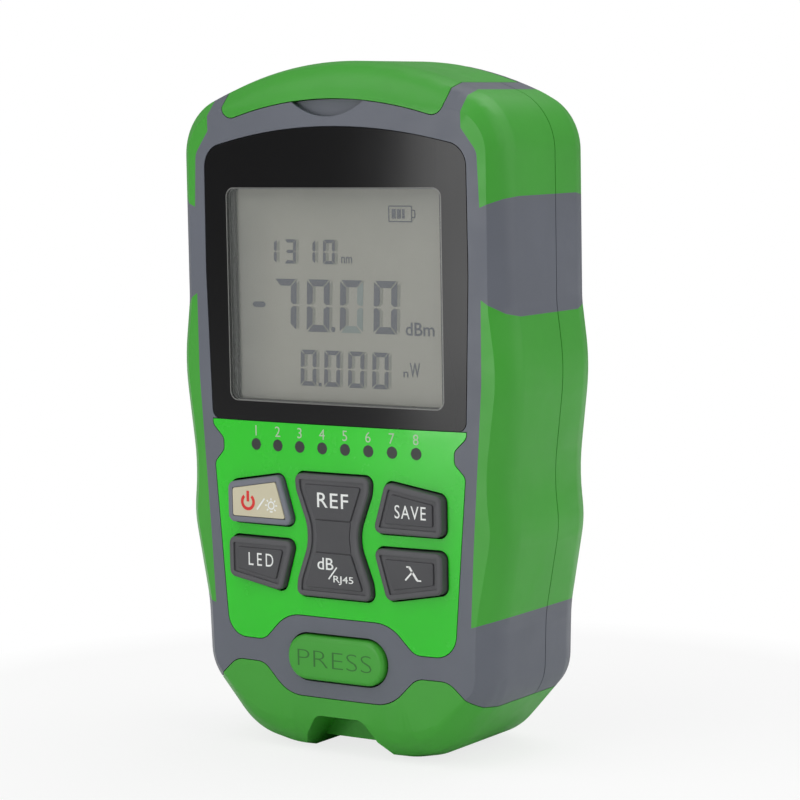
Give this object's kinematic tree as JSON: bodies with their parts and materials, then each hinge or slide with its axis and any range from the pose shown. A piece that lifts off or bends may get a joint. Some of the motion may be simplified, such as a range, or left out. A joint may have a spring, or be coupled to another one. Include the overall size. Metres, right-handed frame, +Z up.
{
  "type": "optical power meter",
  "caption": "Hand-held optical power meter with display, keypad, flip-up cover over its test ports, and a pull-off remote cable tester forming its base.",
  "frame": {"origin": "middle of the flat sole, under the casing's mid-depth", "axes": "+Z up along the height, +X to the right as seen from the front, +Y to the back; the display faces -Y"},
  "size_m": [0.0696, 0.0335, 0.12],
  "materials": {
    "green_body": "satin moulded plastic",
    "green_gloss": "gloss plastic",
    "grey_body": "fine satin plastic",
    "black_lens": "black-printed clear acrylic window",
    "lcd": "liquid crystal display",
    "white_plastic": "plain",
    "key_rubber": "soft key top",
    "key_beige": "soft light key top",
    "black_plastic": "plain",
    "board_green": "solder-masked board",
    "light_dark": "smoked light pipe",
    "nickel": "nickel plate",
    "gold_wire": "gold-plated spring wire",
    "steel": "plain steel",
    "clear_lamp": "clear epoxy",
    "cell_wrap": "plain wrapped cell"
  },
  "bodies": {
    "casing": {"front_shell": "grey_body", "rear_shell": "grey_body", "front_grips": "green_body", "rear_grips": "green_body", "display_lens": "black_lens", "keypad_panel": "green_gloss", "lcd_glass": "lcd", "lcd_backlight": "white_plastic", "lcd_frame": "white_plastic", "main_board": "board_green", "keypad_mat": "key_rubber", "status_lights": "light_dark", "port_block": "black_plastic", "network_jack": "black_plastic", "jack_contacts": "gold_wire", "optical_adapter": "nickel", "red_light_port": "nickel", "lamp_led": "clear_lamp", "hinge_pin": "steel", "batteries": "cell_wrap", "battery_contacts": "steel", "case_screws": "steel"},
    "dust_cover": {"dust_cover": "green_body"},
    "power_key": {"power_key": "key_rubber", "power_key_pad": "key_beige"},
    "save_key": {"save_key": "key_rubber"},
    "led_key": {"led_key": "key_rubber"},
    "wavelength_key": {"wavelength_key": "key_rubber"},
    "rocker_key": {"rocker_key": "key_rubber"},
    "release_button": {"release_button": "green_body"},
    "battery_cover": {"battery_cover": "grey_body"},
    "remote_module": {"remote_cap": "green_body", "remote_carrier": "black_plastic", "remote_jack": "black_plastic", "remote_contacts": "gold_wire", "remote_board": "board_green", "remote_screws": "steel"}
  },
  "joints": [
    {"name": "dust_cover_hinge", "type": "hinge", "parent": "casing", "child": "dust_cover", "pos_m": [0, 0.0111, 0.117], "axis": [-1, 0, 0], "range_deg": [0, 105]},
    {"name": "power_key_press", "type": "slide", "parent": "casing", "child": "power_key", "axis": [0, 1, 0], "range_m": [0, 0.0008], "stiffness_N_per_m": 400},
    {"name": "save_key_press", "type": "slide", "parent": "casing", "child": "save_key", "axis": [0, 1, 0], "range_m": [0, 0.0008], "stiffness_N_per_m": 400},
    {"name": "led_key_press", "type": "slide", "parent": "casing", "child": "led_key", "axis": [0, 1, 0], "range_m": [0, 0.0008], "stiffness_N_per_m": 400},
    {"name": "wavelength_key_press", "type": "slide", "parent": "casing", "child": "wavelength_key", "axis": [0, 1, 0], "range_m": [0, 0.0008], "stiffness_N_per_m": 400},
    {"name": "rocker_key_tilt", "type": "hinge", "parent": "casing", "child": "rocker_key", "pos_m": [0, -0.0119, 0.0387], "axis": [1, 0, 0], "range_deg": [-3, 3], "stiffness_Nm_per_rad": 0.2},
    {"name": "release_button_press", "type": "slide", "parent": "casing", "child": "release_button", "axis": [0, 1, 0], "range_m": [0, 0.0008], "stiffness_N_per_m": 600},
    {"name": "battery_cover_lift", "type": "slide", "parent": "casing", "child": "battery_cover", "axis": [0, 1, 0], "range_m": [0, 0.04]},
    {"name": "remote_module_pull", "type": "slide", "parent": "casing", "child": "remote_module", "axis": [0, 0, -1], "range_m": [0, 0.03]}
  ]
}
